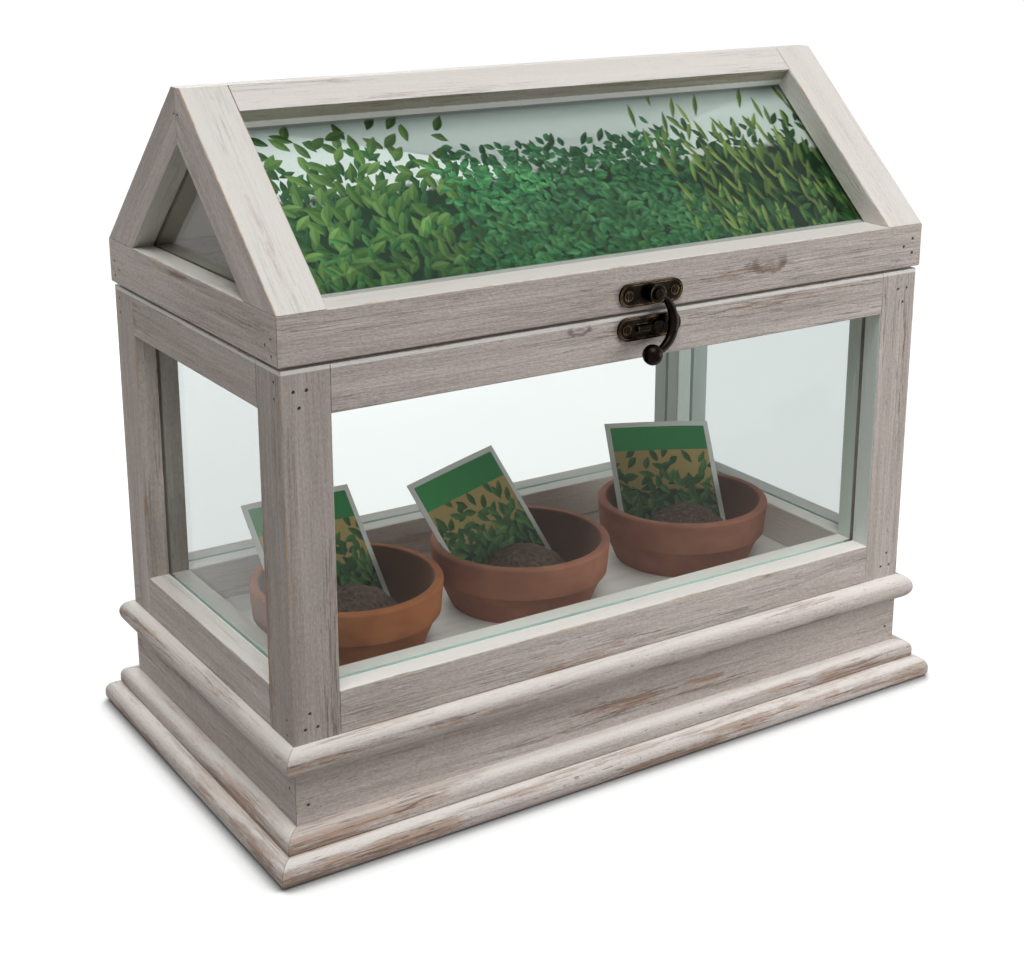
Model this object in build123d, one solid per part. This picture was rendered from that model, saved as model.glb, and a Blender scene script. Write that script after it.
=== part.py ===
from build123d import *
import math
import os

# Case: the glazed box between the waist moulding and the lid
case_length = 300.0
case_depth = 157.0
post_width = 19.5
post_height = 141.0
bottom_rail_height = 17.3
top_rail_height = 18.0

# Stepped base, skirt and waist moulding below the case
base_height = 17.0
base_overhang = 12.0
base_lower_height = 9.5
base_upper_overhang = 6.5
base_nose_share = 0.55
base_upper_foot_share = 0.15
base_lower_foot_share = 0.3
skirt_height = 20.5
skirt_thickness = 15.0
waist_height = 11.5
waist_overhang = 5.5
floor_thickness = 5.0
floor_ledge = 8.0
floor_clearance = 0.5

# Lid: a mitred rail frame with a gabled roof on it
lid_gap = 1.2
lid_rail_height = 18.5
lid_rail_width = 19.5
lid_overhang = 0.8
roof_rise = 68.4
ridge_flat = 7.6
rafter_thickness = 17.5
rafter_width = 19.5
ridge_face = 12.5

# Glass and the printed cards behind the roof panes
pane_thickness = 2.5
pane_setback = 9.0
pane_bite = 4.5
pane_clearance = 0.15
edge_clearance = 0.5
roof_pane_depth = 10.0
card_thickness = 0.4

# Softened wood edges and open mitres
edge_radius = 0.7
mitre_gap = 0.1

# Panel pins
pin_radius = 0.7
pin_fit = 0.02
pin_sink = 0.6
pin_length = 34.0
short_pin_length = 6.0
pin_edge = 5.0
pin_spacing = 6.0

# Butt hinges on the back
hinge_offset = 85.0
hinge_width = 24.0
hinge_leaf_height = 15.0
hinge_leaf_thickness = 1.1
knuckle_radius = 2.2
knuckle_clearance = 0.3
hinge_pin_radius = 1.2
hinge_pin_fit = 0.05
hinge_pin_head = 1.8

# Screws
screw_radius = 1.1
screw_fit = 0.02
screw_length = 12.0
screw_head_radius = 2.0
screw_head_height = 0.35
screw_slot = 0.5

# Latch
latch_centre = 6.3
latch_plate_length = 30.0
latch_plate_height = 9.3
latch_plate_thickness = 1.0
latch_rim_width = 0.8
latch_rim_height = 0.3
latch_plate_drop = 11.8
keeper_plate_drop = 5.6
latch_screw_offset = 11.0
pivot_offset = 0.8
pivot_radius = 1.5
pivot_fit = 0.05
pivot_head_radius = 2.2
pivot_head_height = 1.0
pivot_play = 0.2
eye_radius = 3.7
eye_thickness = 2.6
eye_standoff = 0.4
arm_end_radius = 1.2
arm_middle_radius = 2.0
arm_section_count = 9
hook_ball_radius = 4.1
keeper_knob_offset = 2.8
keeper_knob_radius = 2.7
keeper_knob_height = 2.7
keeper_tongue_length = 9.0
keeper_tongue_radius = 1.5

# Pots in a row across the floor: clear gaps from the left wall to the right wall, then their walls
pot_gaps = {"left": 1.5, "middle": 5.5, "right": 12.5}
pot_right_gap = 7.5
pot_setting = {"left": -7.0, "middle": -7.0, "right": -5.0}
pot_band_taper = 1.2
pot_band_step = 1.2
pot_band_height = 14.0
pot_body_taper = 6.0
pot_height = 28.0
pot_floor = 4.0
pot_rim_width = 4.0
pot_inner_taper = 7.0
pot_drain_radius = 4.0
pot_edge_radius = 1.2

# Soil mounds and seed packets
soil_margin = 6.0
soil_height = 19.0
soil_side_height = 5.0
soil_offset = -4.0
packet_margin = 2.0
packet_height = 54.0
packet_thickness = 0.6
packet_lift = 7.0
packet_clearance = 0.1
packet_turns = {"left": (11.0, 38.0, -4.0), "middle": (8.0, 37.0, 8.5), "right": (-15.0, 40.0, -4.0)}
packet_offsets = {"left": (-1.5, 3.0), "middle": (-2.0, 3.0), "right": (-1.0, 3.0)}

# Heights and half sizes that follow from the values above
half_length = case_length / 2
half_depth = case_depth / 2
skirt_bottom = base_height
waist_bottom = skirt_bottom + skirt_height
case_bottom = waist_bottom + waist_height
case_top = case_bottom + post_height
window_bottom = case_bottom + bottom_rail_height
window_top = case_top - top_rail_height
lid_bottom = case_top + lid_gap
eave_height = lid_bottom + lid_rail_height
lid_half_length = half_length + lid_overhang
lid_half_depth = half_depth + lid_overhang
roof_run = lid_half_depth - ridge_flat / 2
roof_angle = math.degrees(math.atan2(roof_rise, roof_run))
roof_sin = math.sin(math.radians(roof_angle))
roof_cos = math.cos(math.radians(roof_angle))
ridge_height = eave_height + roof_rise
slope_length = math.hypot(roof_run, roof_rise)
tall = 2 * ridge_height

up = Vector(0, 0, 1)
outward = {
    "front": Vector(0, -1, 0),
    "back": Vector(0, 1, 0),
    "left": Vector(-1, 0, 0),
    "right": Vector(1, 0, 0),
}
parts = {}


def block(x0, x1, y0, y1, z0, z1):
    return Pos((x0 + x1) / 2, (y0 + y1) / 2, (z0 + z1) / 2) * Box(abs(x1 - x0), abs(y1 - y0), abs(z1 - z0))


def face_distance(side, extra=0.0):
    return (half_depth if side in ("front", "back") else half_length) + extra


def half_run(side, extra=0.0):
    return (half_length if side in ("front", "back") else half_depth) + extra


def across(side):
    return Vector(-outward[side].Y, outward[side].X, 0)


# A point given by its distance out from the middle, its place along the side and its height
def side_point(side, out, along, height):
    return outward[side] * out + across(side) * along + up * height


def side_block(side, out0, out1, along0, along1, z0, z1):
    a = side_point(side, out0, along0, z0)
    b = side_point(side, out1, along1, z1)
    return block(a.X, b.X, a.Y, b.Y, a.Z, b.Z)


# A strip of one section along a side, cut at 45 degrees at both ends
def mitred_strip(section, side, reach, overhang, width):
    out = face_distance(side, reach)
    run = half_run(side, reach)
    plane = Plane(origin=outward[side] * out, x_dir=outward[side], z_dir=outward[side].cross(up))
    bar = extrude(plane * section, amount=run + overhang, both=True)
    corners = []
    for u in (overhang, -width):
        for sign in (1, -1) if u == overhang else (-1, 1):
            corners.append(side_point(side, out + u, sign * (run + u - mitre_gap), -1))
    outline = make_face(Polyline(*corners, close=True))
    return bar & extrude(outline, amount=tall, dir=(0, 0, 1))


# A rectangle in section, outer edge at zero, with its outer corners rounded
def plain_section(width, z0, z1):
    section = Pos(-width / 2, (z0 + z1) / 2) * Rectangle(width, z1 - z0)
    return fillet(section.vertices().filter_by_position(Axis.X, -edge_radius, edge_radius), edge_radius)


# A rectangle in section whose outer edge is a full half round
def bullnose_section(width, overhang, z0, z1):
    radius = (z1 - z0) / 2
    middle = overhang - radius
    bar = Pos((middle - width) / 2, (z0 + z1) / 2) * Rectangle(width + middle, z1 - z0)
    return bar + Pos(middle, (z0 + z1) / 2) * Circle(radius)


# A rectangle in section with a large round on its outer top corner and a smaller one below it
def nosed_section(width, overhang, z0, z1, foot_share):
    height = z1 - z0
    section = Pos((overhang - width) / 2, (z0 + z1) / 2) * Rectangle(width + overhang, height)
    section = fillet(section.vertices().sort_by(Axis.X)[-2:].sort_by(Axis.Y)[-1], base_nose_share * height)
    return fillet(section.vertices().sort_by(Axis.X)[-2:].sort_by(Axis.Y)[0], foot_share * height)


def soften(solid, axis):
    return fillet(solid.edges().filter_by(axis), edge_radius)


def rod(start, direction, radius, length):
    plane = Plane(origin=start, z_dir=direction)
    return extrude(plane * Circle(radius), amount=length)


# Stepped base, skirt and waist moulding
base_lower_section = nosed_section(post_width, base_overhang, 0, base_lower_height, base_lower_foot_share)
base_section = base_lower_section + nosed_section(
    post_width, base_upper_overhang, base_lower_height, base_height, base_upper_foot_share
)
waist_section = bullnose_section(post_width, waist_overhang, waist_bottom, case_bottom)
skirt_section = Pos(-skirt_thickness / 2, skirt_bottom + skirt_height / 2) * Rectangle(skirt_thickness, skirt_height)
floor_half_length = half_length - post_width + floor_ledge
floor_half_depth = half_depth - post_width + floor_ledge
floor_bottom = case_bottom - floor_thickness
floor_seat = block(
    -floor_half_length, floor_half_length, -floor_half_depth, floor_half_depth, floor_bottom, case_bottom
)
strips = {}
for side in outward:
    strips["base_moulding", side] = mitred_strip(base_section, side, 0, base_overhang, post_width)
    strips["skirt", side] = mitred_strip(skirt_section, side, 0, 0, skirt_thickness)
    strips["waist_moulding", side] = mitred_strip(waist_section, side, 0, waist_overhang, post_width) - floor_seat
floor_x = floor_half_length - floor_clearance
floor_y = floor_half_depth - floor_clearance
parts["floor_board"] = block(-floor_x, floor_x, -floor_y, floor_y, floor_bottom, case_bottom)

# Corner posts
for side_y, sign_y in (("front", -1), ("back", 1)):
    for side_x, sign_x in (("left", -1), ("right", 1)):
        post = block(
            sign_x * (half_length - post_width),
            sign_x * half_length,
            sign_y * (half_depth - post_width),
            sign_y * half_depth,
            case_bottom,
            case_top,
        )
        parts["post_" + side_y + "_" + side_x] = soften(post, Axis.Z)

# Rails between the posts and the four case panes in their grooves
pane_bottom = window_bottom - pane_bite
pane_top = window_top + pane_bite
for side in outward:
    out = face_distance(side)
    run = half_run(side) - post_width
    rail_axis = Axis.X if side in ("front", "back") else Axis.Y
    lower = side_block(side, out - post_width, out, -run, run, case_bottom, window_bottom)
    upper = side_block(side, out - post_width, out, -run, run, window_top, case_top)
    pane_out = out - pane_setback
    pane_in = pane_out - pane_thickness
    reach = run + pane_bite
    parts["case_pane_" + side] = side_block(side, pane_in, pane_out, -reach, reach, pane_bottom, pane_top)
    seat = side_block(
        side,
        pane_in - pane_clearance,
        pane_out + pane_clearance,
        -reach - edge_clearance,
        reach + edge_clearance,
        pane_bottom,
        pane_top + edge_clearance,
    )
    parts["bottom_rail_" + side] = soften(lower, rail_axis) - seat
    parts["top_rail_" + side] = soften(upper, rail_axis) - seat
    for name in parts:
        if name.startswith("post_") and side in name:
            parts[name] = parts[name] - seat

# Lid rails
lid_section = plain_section(lid_rail_width, lid_bottom, eave_height)
for side in outward:
    parts["lid_rail_" + side] = mitred_strip(lid_section, side, lid_overhang, 0, lid_rail_width)


# A point on one roof slope: distance up the slope from the eave and depth below its outer face
def slope_point(sign_y, x, up_slope, depth):
    y = -lid_half_depth + up_slope * roof_cos + depth * roof_sin
    z = eave_height + up_slope * roof_sin - depth * roof_cos
    return Vector(x, -sign_y * y, z)


def slope_plate(sign_y, x0, x1, up0, up1, depth0, depth1):
    corners = [
        slope_point(sign_y, x0, up0, depth0),
        slope_point(sign_y, x0, up1, depth0),
        slope_point(sign_y, x0, up1, depth1),
        slope_point(sign_y, x0, up0, depth1),
    ]
    return extrude(make_face(Polyline(*corners, close=True)), amount=x1 - x0, dir=(1, 0, 0))


def upright_prism(outline, x0, x1):
    corners = [Vector(x0, y, z) for y, z in outline]
    return extrude(make_face(Polyline(*corners, close=True)), amount=x1 - x0, dir=(1, 0, 0))


# Rafters, mitred against each other under the ridge
roof_tan = roof_sin / roof_cos
apex_height = eave_height + lid_half_depth * roof_tan
rafter_foot = lid_half_depth - rafter_thickness / roof_sin
rafter_apex = apex_height - rafter_thickness / roof_cos
rafter_inner_x = lid_half_length - rafter_width
for side_y, sign_y in (("front", -1), ("back", 1)):
    for side_x, sign_x in (("left", -1), ("right", 1)):
        outline = [
            (sign_y * lid_half_depth, eave_height),
            (sign_y * ridge_flat / 2, ridge_height),
            (sign_y * mitre_gap, ridge_height),
            (sign_y * mitre_gap, rafter_apex - mitre_gap * roof_tan),
            (sign_y * rafter_foot, eave_height),
        ]
        x0 = min(sign_x * rafter_inner_x, sign_x * lid_half_length)
        rafter = upright_prism(outline, x0, x0 + rafter_width)
        slope_edges = []
        for edge in rafter.edges():
            if abs(edge.length - slope_length) < 1e-3:
                slope_edges.append(edge)
        parts["rafter_" + side_y + "_" + side_x] = fillet(slope_edges, edge_radius)

# Ridge beam between the rafters
ridge_outline = []
for sign_y in (-1, 1):
    section = [(sign_y * ridge_flat / 2, ridge_height)]
    for depth in (0, rafter_thickness):
        point = slope_point(sign_y, 0, slope_length - ridge_face, depth)
        section.append((point.Y, point.Z))
    ridge_outline += section if sign_y < 0 else section[::-1]
parts["ridge_beam"] = upright_prism(ridge_outline, -rafter_inner_x, rafter_inner_x)

# Roof panes in grooves of the rafters and ridge, standing on the lid rails
roof_pane_reach = rafter_inner_x + pane_bite
pane_inner_depth = roof_pane_depth + pane_thickness
card_inner_depth = pane_inner_depth + card_thickness
roof_pane_head = slope_length - ridge_face + pane_bite - edge_clearance
above_eave = block(-lid_half_length, lid_half_length, -lid_half_depth, lid_half_depth, eave_height, ridge_height)


# A sheet in the roof slope, cut level at its foot so that it stands flat on the lid rail
def slope_sheet(sign_y, depth0, depth1):
    foot = depth0 * roof_cos / roof_sin
    return slope_plate(sign_y, -roof_pane_reach, roof_pane_reach, foot, roof_pane_head, depth0, depth1) & above_eave


print_cards = []
for side_y, sign_y in (("front", -1), ("back", 1)):
    parts["roof_pane_" + side_y] = slope_sheet(sign_y, roof_pane_depth, pane_inner_depth)
    print_cards.append(slope_sheet(sign_y, pane_inner_depth, card_inner_depth))
    seat = slope_plate(
        sign_y,
        -roof_pane_reach - edge_clearance,
        roof_pane_reach + edge_clearance,
        card_inner_depth * roof_cos / roof_sin - pane_bite,
        roof_pane_head + edge_clearance,
        roof_pane_depth - pane_clearance,
        card_inner_depth,
    )
    for name in ("rafter_" + side_y + "_left", "rafter_" + side_y + "_right", "ridge_beam"):
        parts[name] = parts[name] - seat
parts["print_cards"] = Compound(children=print_cards)

# Triangular gable panes in grooves of the rafters and end rails
gable_sill = eave_height - pane_bite


def gable_outline(depth):
    foot = lid_half_depth - depth / roof_sin - (gable_sill - eave_height) / roof_tan
    return [(-foot, gable_sill), (foot, gable_sill), (0, apex_height - depth / roof_cos)]


gable_depth = rafter_thickness - pane_bite
for side_x, sign_x in (("left", -1), ("right", 1)):
    middle = sign_x * (lid_half_length - pane_setback - pane_thickness / 2)
    half_seat = pane_thickness / 2 + pane_clearance
    parts["gable_pane_" + side_x] = upright_prism(
        gable_outline(gable_depth), middle - pane_thickness / 2, middle + pane_thickness / 2
    )
    seat = upright_prism(gable_outline(gable_depth - edge_clearance), middle - half_seat, middle + half_seat)
    for name in ("rafter_front_" + side_x, "rafter_back_" + side_x, "lid_rail_" + side_x):
        parts[name] = parts[name] - seat

# Panel pins: each is driven in from a face and set a little below it
case_pins = []
lid_pins = []


def drive_pin(group, start, direction, length, names):
    group.append(rod(start + direction * pin_sink, direction, pin_radius, length))
    hole = rod(start - direction, direction, pin_radius + pin_fit, length + pin_sink + 1)
    for name in names:
        if name in parts:
            parts[name] = parts[name] - hole
        else:
            strips[name] = strips[name] - hole


post_pin_places = [(pin_edge, 0.5), (2 * pin_edge, 0.5), (1.4 * pin_edge, 1.5)]
lid_pin_places = [(pin_edge, -pin_spacing / 2), (pin_edge, pin_spacing / 2), (2 * pin_edge, 0)]
for side_y, sign_y in (("front", -1), ("back", 1)):
    for side_x, sign_x in (("left", -1), ("right", 1)):
        inward_x = Vector(-sign_x, 0, 0)
        inward_y = Vector(0, -sign_y, 0)
        post_name = "post_" + side_y + "_" + side_x
        pin_x = sign_x * (half_length - pin_edge)
        pin_y = sign_y * (half_depth - pin_edge)
        for rail, height in (("top_rail_", case_top - pin_edge), ("bottom_rail_", case_bottom + pin_edge / 2)):
            step = -pin_spacing if rail == "top_rail_" else pin_spacing
            for rise in (0, step):
                start = Vector(sign_x * half_length, pin_y, height + rise)
                drive_pin(case_pins, start, inward_x, pin_length, [post_name, rail + side_y])
            for in_from_face, rise in post_pin_places:
                x = sign_x * (half_length - in_from_face)
                start = Vector(x, sign_y * half_depth, height + rise * step)
                drive_pin(case_pins, start, inward_y, pin_length, [post_name, rail + side_x])
        skirt_names = [("skirt", side_y), ("skirt", side_x)]
        skirt_pin_height = skirt_bottom + skirt_height / 2
        for start, inward in (
            (Vector(pin_x, sign_y * half_depth, skirt_pin_height - pin_spacing / 2), inward_y),
            (Vector(sign_x * half_length, pin_y, skirt_pin_height + pin_spacing / 2), inward_x),
        ):
            drive_pin(case_pins, start, inward, pin_length, skirt_names)
        # The lid's pins show on its ends, but on the front face at the front right corner
        for in_from_face, rise in lid_pin_places:
            height = lid_bottom + lid_rail_height / 2 - pin_spacing / 2 + rise
            start = Vector(sign_x * lid_half_length, sign_y * (lid_half_depth - in_from_face), height)
            inward = inward_x
            if post_name == "post_front_right":
                height = height + pin_spacing / 2
                start = Vector(sign_x * (lid_half_length - in_from_face), sign_y * lid_half_depth, height)
                inward = inward_y
            drive_pin(lid_pins, start, inward, pin_length, ["lid_rail_" + side_x, "lid_rail_" + side_y])
        apex_place = slope_point(sign_y, sign_x * lid_half_length, slope_length - pin_edge, rafter_thickness / 2)
        drive_pin(lid_pins, apex_place, inward_x, short_pin_length, ["rafter_" + side_y + "_" + side_x])
parts["case_pins"] = Compound(children=case_pins)
parts["lid_pins"] = Compound(children=lid_pins)

# Butt hinges: both leaves lie on the back plane of the case, the lid leaf let into its rail
hinge_axis_y = half_depth + knuckle_radius + pane_clearance
hinge_axis_z = case_top + lid_gap / 2
hinge_places = (-hinge_offset, hinge_offset)
knuckle_length = hinge_width / 3
case_leaves = []
lid_leaves = []
hinge_pins = []
hinge_screw_places = []
for place in hinge_places:
    bounds = [place - hinge_width / 2 + knuckle_length * index for index in range(4)]
    leaf_in = half_depth
    leaf_out = half_depth + hinge_leaf_thickness
    axis_x = Vector(1, 0, 0)
    case_leaf = block(bounds[0], bounds[3], leaf_in, leaf_out, hinge_axis_z - hinge_leaf_height, hinge_axis_z)
    lid_leaf = block(bounds[0], bounds[3], leaf_in, leaf_out, hinge_axis_z, hinge_axis_z + hinge_leaf_height)
    parts["lid_rail_back"] = parts["lid_rail_back"] - lid_leaf
    knuckles = []
    for index in range(3):
        inset = pane_clearance if index == 1 else 0
        start = Vector(bounds[index] + inset, hinge_axis_y, hinge_axis_z)
        knuckles.append(rod(start, axis_x, knuckle_radius, knuckle_length - 2 * inset))
        relief = rod(start - axis_x * inset, axis_x, knuckle_radius + knuckle_clearance, knuckle_length)
        if index == 1:
            case_leaf = case_leaf - relief
        else:
            lid_leaf = lid_leaf - relief
    whole_axis = Vector(bounds[0], hinge_axis_y, hinge_axis_z)
    case_leaf = case_leaf + knuckles[0] + knuckles[2]
    case_leaf = case_leaf - rod(whole_axis, axis_x, hinge_pin_radius + pin_fit, hinge_width)
    lid_leaf = lid_leaf + knuckles[1] - rod(whole_axis, axis_x, hinge_pin_radius + hinge_pin_fit, hinge_width)
    pin = rod(whole_axis, axis_x, hinge_pin_radius, hinge_width)
    for end, direction in ((bounds[0], -1), (bounds[3], 1)):
        head = rod(Vector(end, hinge_axis_y, hinge_axis_z), axis_x * direction, hinge_pin_head, pin_sink)
        pin = pin + head
    hinge_pins.append(pin)
    case_leaves.append(case_leaf)
    lid_leaves.append(lid_leaf)
    for x in ((bounds[0] + bounds[1]) / 2, (bounds[2] + bounds[3]) / 2):
        hinge_screw_places.append(Vector(x, leaf_out, 0))

# Latch plates: a swing hook pivots on the lid plate, the keeper plate sits on the case
latch_height = eave_height - latch_plate_drop
keeper_height = case_top - keeper_plate_drop
pivot_x = latch_centre + pivot_offset
lid_front = -lid_half_depth
case_front = -half_depth


def latch_plane(x, y, z):
    return Plane(origin=(x, y, z), x_dir=(1, 0, 0), z_dir=(0, -1, 0))


def rimmed_plate(y, z):
    plane = latch_plane(latch_centre, y, z)
    outer = SlotOverall(latch_plate_length, latch_plate_height)
    inner = SlotOverall(latch_plate_length - 2 * latch_rim_width, latch_plate_height - 2 * latch_rim_width)
    plate = extrude(plane * outer, amount=latch_plate_thickness + latch_rim_height)
    raised = latch_plane(latch_centre, y - latch_plate_thickness, z)
    return plate - extrude(raised * inner, amount=latch_rim_height)


forward = Vector(0, -1, 0)
latch_plate = rimmed_plate(lid_front, latch_height)
keeper = rimmed_plate(case_front, keeper_height)
plate_front = lid_front - latch_plate_thickness
keeper_front = case_front - latch_plate_thickness
knob_x = latch_centre + keeper_knob_offset
knob_start = Vector(knob_x, keeper_front, keeper_height)
knob = rod(knob_start, forward, keeper_knob_radius, keeper_knob_height)
knob = fillet(knob.edges().sort_by(Axis.Y)[0], keeper_knob_radius / 3)
tongue_start = Vector(knob_x - keeper_tongue_length, keeper_front, keeper_height)
tongue = rod(tongue_start, Vector(1, 0, 0), keeper_tongue_radius, keeper_tongue_length)
tongue = tongue & block(
    tongue_start.X, knob_x, keeper_front - keeper_knob_height, keeper_front, 0, tall
)
keeper = keeper + tongue + knob

# Pivot rivet through the lid plate and the hook's eye
eye_back = plate_front - latch_rim_height - eye_standoff
eye_front = eye_back - eye_thickness
head_back = eye_front - pivot_play
pivot_start = Vector(pivot_x, lid_front, latch_height)
rivet = rod(pivot_start, forward, pivot_radius, lid_front - head_back)
head = rod(Vector(pivot_x, head_back, latch_height), forward, pivot_head_radius, pivot_head_height)
head = fillet(head.edges().sort_by(Axis.Y)[0], pivot_head_height * 0.6)
collar = rod(
    Vector(pivot_x, plate_front, latch_height), forward, eye_radius, plate_front - eye_back - pivot_play
)
parts["latch_pivot"] = rivet + head + collar
latch_plate = latch_plate - rod(pivot_start, forward, pivot_radius + pin_fit, 2 * latch_plate_thickness)

# Swing hook: an eye, a crescent arm that comes forward past the keeper, and a ball to hold
arm_line = [
    (2.4, 0.2, -1.3),
    (4.5, 0.25, -2.8),
    (7.0, 0.7, -7.0),
    (7.7, 1.2, -12.2),
    (6.4, 1.7, -16.9),
    (3.5, 2.4, -20.0),
    (-0.4, 3.3, -22.0),
    (-4.2, 4.0, -22.8),
]
arm_start_y = (eye_back + eye_front) / 2
arm_points = [Vector(pivot_x + x, arm_start_y - ahead, latch_height + z) for x, ahead, z in arm_line]
arm_path = Spline(*arm_points)
arm_sections = []
for index in range(arm_section_count):
    place = index / (arm_section_count - 1)
    radius = arm_end_radius + (arm_middle_radius - arm_end_radius) * math.sin(math.pi * place)
    plane = Plane(origin=arm_path @ place, z_dir=arm_path % place)
    arm_sections.append(plane * Circle(radius))
arm = loft(arm_sections)
eye = rod(Vector(pivot_x, eye_back, latch_height), forward, eye_radius, eye_thickness)
ball = Pos(*arm_points[-1]) * Rot(Z=180) * Sphere(hook_ball_radius)
pivot_hole = rod(pivot_start, forward, pivot_radius + pivot_fit, lid_front - head_back)
parts["latch_hook"] = eye + arm + ball - pivot_hole

# Slotted screws for the latch plates and hinge leaves
case_screws = []
lid_screws = []


def slotted_screw(start, outward_direction):
    head = rod(start, outward_direction, screw_head_radius, screw_head_height)
    shank = rod(start, -outward_direction, screw_radius, screw_length)
    end = start + outward_direction * screw_head_height
    slot = Pos(*end) * Box(screw_slot, screw_head_height, 3 * screw_head_radius)
    return head + shank - slot


def screw_hole(start, outward_direction):
    return rod(start + outward_direction, -outward_direction, screw_radius + screw_fit, screw_length + 1)


for sign_x in (-1, 1):
    x = latch_centre + sign_x * latch_screw_offset
    start = Vector(x, plate_front, latch_height)
    lid_screws.append(slotted_screw(start, forward))
    latch_plate = latch_plate - screw_hole(start, forward)
    parts["lid_rail_front"] = parts["lid_rail_front"] - screw_hole(start, forward)
    start = Vector(x, keeper_front, keeper_height)
    case_screws.append(slotted_screw(start, forward))
    keeper = keeper - screw_hole(start, forward)
    parts["top_rail_front"] = parts["top_rail_front"] - screw_hole(start, forward)
leaf_middle = hinge_leaf_height * 0.6
for place in hinge_screw_places:
    start = place + up * (hinge_axis_z + leaf_middle)
    lid_screws.append(slotted_screw(start, -forward))
    hole = screw_hole(start, -forward)
    lid_leaves = [leaf - hole for leaf in lid_leaves]
    parts["lid_rail_back"] = parts["lid_rail_back"] - hole
    start = place + up * (hinge_axis_z - leaf_middle)
    case_screws.append(slotted_screw(start, -forward))
    hole = screw_hole(start, -forward)
    case_leaves = [leaf - hole for leaf in case_leaves]
    parts["top_rail_back"] = parts["top_rail_back"] - hole
parts["latch_plate"] = latch_plate
parts["keeper_plate"] = keeper
parts["case_screws"] = Compound(children=case_screws)
parts["lid_screws"] = Compound(children=lid_screws)
parts["case_hinge_leaves"] = Compound(children=case_leaves)
parts["lid_hinge_leaves"] = Compound(children=lid_leaves)
parts["hinge_pins"] = Compound(children=hinge_pins)

# Shallow pots, each with a soil mound and a seed packet set into it
floor_length = case_length - 2 * post_width
pot_rim_radius = (floor_length - sum(pot_gaps.values()) - pot_right_gap) / (2 * len(pot_gaps))
pot_band_radius = pot_rim_radius - pot_band_taper
pot_body_radius = pot_band_radius - pot_band_step
pot_base_radius = pot_body_radius - pot_body_taper
pot_inner_top_radius = pot_rim_radius - pot_rim_width
pot_inner_base_radius = pot_inner_top_radius - pot_inner_taper
soil_radius = pot_inner_base_radius - soil_margin
packet_width = 2 * (pot_inner_base_radius - packet_margin)
pot_outline = [
    (pot_drain_radius, 0),
    (pot_base_radius, 0),
    (pot_body_radius, pot_height - pot_band_height),
    (pot_band_radius, pot_height - pot_band_height),
    (pot_rim_radius, pot_height),
    (pot_inner_top_radius, pot_height),
    (pot_inner_base_radius, pot_floor),
    (pot_drain_radius, pot_floor),
]
pot_face = make_face(Polyline(*[(r, 0, z) for r, z in pot_outline], close=True))
pot_shape = revolve(pot_face, axis=Axis.Z)
pot_shape = fillet(pot_shape.edges().group_by(Axis.Z)[-1], pot_edge_radius)
soil_dome = soil_height - soil_side_height
soil_dome_radius = (soil_radius**2 + soil_dome**2) / (2 * soil_dome)
soil_shape = Pos(0, 0, soil_height / 2) * Cylinder(soil_radius, soil_height)
soil_shape = soil_shape & Pos(0, 0, soil_height - soil_dome_radius) * Sphere(soil_dome_radius)
pot_edge = -floor_length / 2
for name, gap in pot_gaps.items():
    pot_place = Pos(pot_edge + gap + pot_rim_radius, pot_setting[name], case_bottom)
    pot_edge = pot_edge + gap + 2 * pot_rim_radius
    turn, lean, roll = packet_turns[name]
    dx, dy = packet_offsets[name]
    packet_place = pot_place * Pos(dx, dy, pot_floor + packet_lift) * Rot(Z=turn) * Rot(X=-lean) * Rot(Y=-roll)
    sheet = Pos(0, 0, packet_height / 2) * Box(packet_width, packet_thickness, packet_height)
    slot = Pos(0, 0, packet_height / 2 - packet_clearance) * Box(
        packet_width, packet_thickness + 2 * packet_clearance, packet_height
    )
    parts["pot_" + name] = pot_place * pot_shape
    parts["packet_" + name] = packet_place * sheet
    soil = pot_place * Pos(0, soil_offset, pot_floor) * soil_shape
    parts["soil_" + name] = soil - packet_place * slot

# The two end pieces of each moulding and skirt are alike and share a node
for kind in ("base_moulding", "skirt", "waist_moulding"):
    parts[kind + "_front"] = strips[kind, "front"]
    parts[kind + "_back"] = strips[kind, "back"]
    parts[kind + "_ends"] = Compound(children=[strips[kind, "left"], strips[kind, "right"]])

os.makedirs("parts", exist_ok=True)
for name, shape in parts.items():
    export_step(shape, "parts/" + name + ".step")
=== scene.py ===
import math

import bpy
from mathutils import Matrix, Vector


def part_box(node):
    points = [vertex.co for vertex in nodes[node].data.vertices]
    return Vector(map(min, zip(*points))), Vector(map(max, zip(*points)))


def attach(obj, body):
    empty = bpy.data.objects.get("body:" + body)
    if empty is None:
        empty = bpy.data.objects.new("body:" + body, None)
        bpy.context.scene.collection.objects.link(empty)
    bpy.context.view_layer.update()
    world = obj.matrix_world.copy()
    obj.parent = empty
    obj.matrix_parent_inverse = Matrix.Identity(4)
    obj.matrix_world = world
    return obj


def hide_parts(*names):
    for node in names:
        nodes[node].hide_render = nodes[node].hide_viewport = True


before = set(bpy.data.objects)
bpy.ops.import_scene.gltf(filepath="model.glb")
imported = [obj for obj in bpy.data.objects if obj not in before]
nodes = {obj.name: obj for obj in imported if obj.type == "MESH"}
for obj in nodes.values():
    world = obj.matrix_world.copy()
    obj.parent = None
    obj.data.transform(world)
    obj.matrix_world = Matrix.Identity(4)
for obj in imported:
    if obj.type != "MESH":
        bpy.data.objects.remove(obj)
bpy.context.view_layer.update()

scene = bpy.context.scene
scene.view_settings.view_transform = "Standard"
roofPitch = math.radians(42.17)  # slope of the roof
quarter = math.pi / 2


# a socket is linked, a plain value is set
def feed(tree, node, feeds):
    for socket, source in dict(feeds).items():
        if isinstance(source, bpy.types.NodeSocket):
            tree.links.new(source, node.inputs[socket])
        else:
            node.inputs[socket].default_value = source


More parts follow.
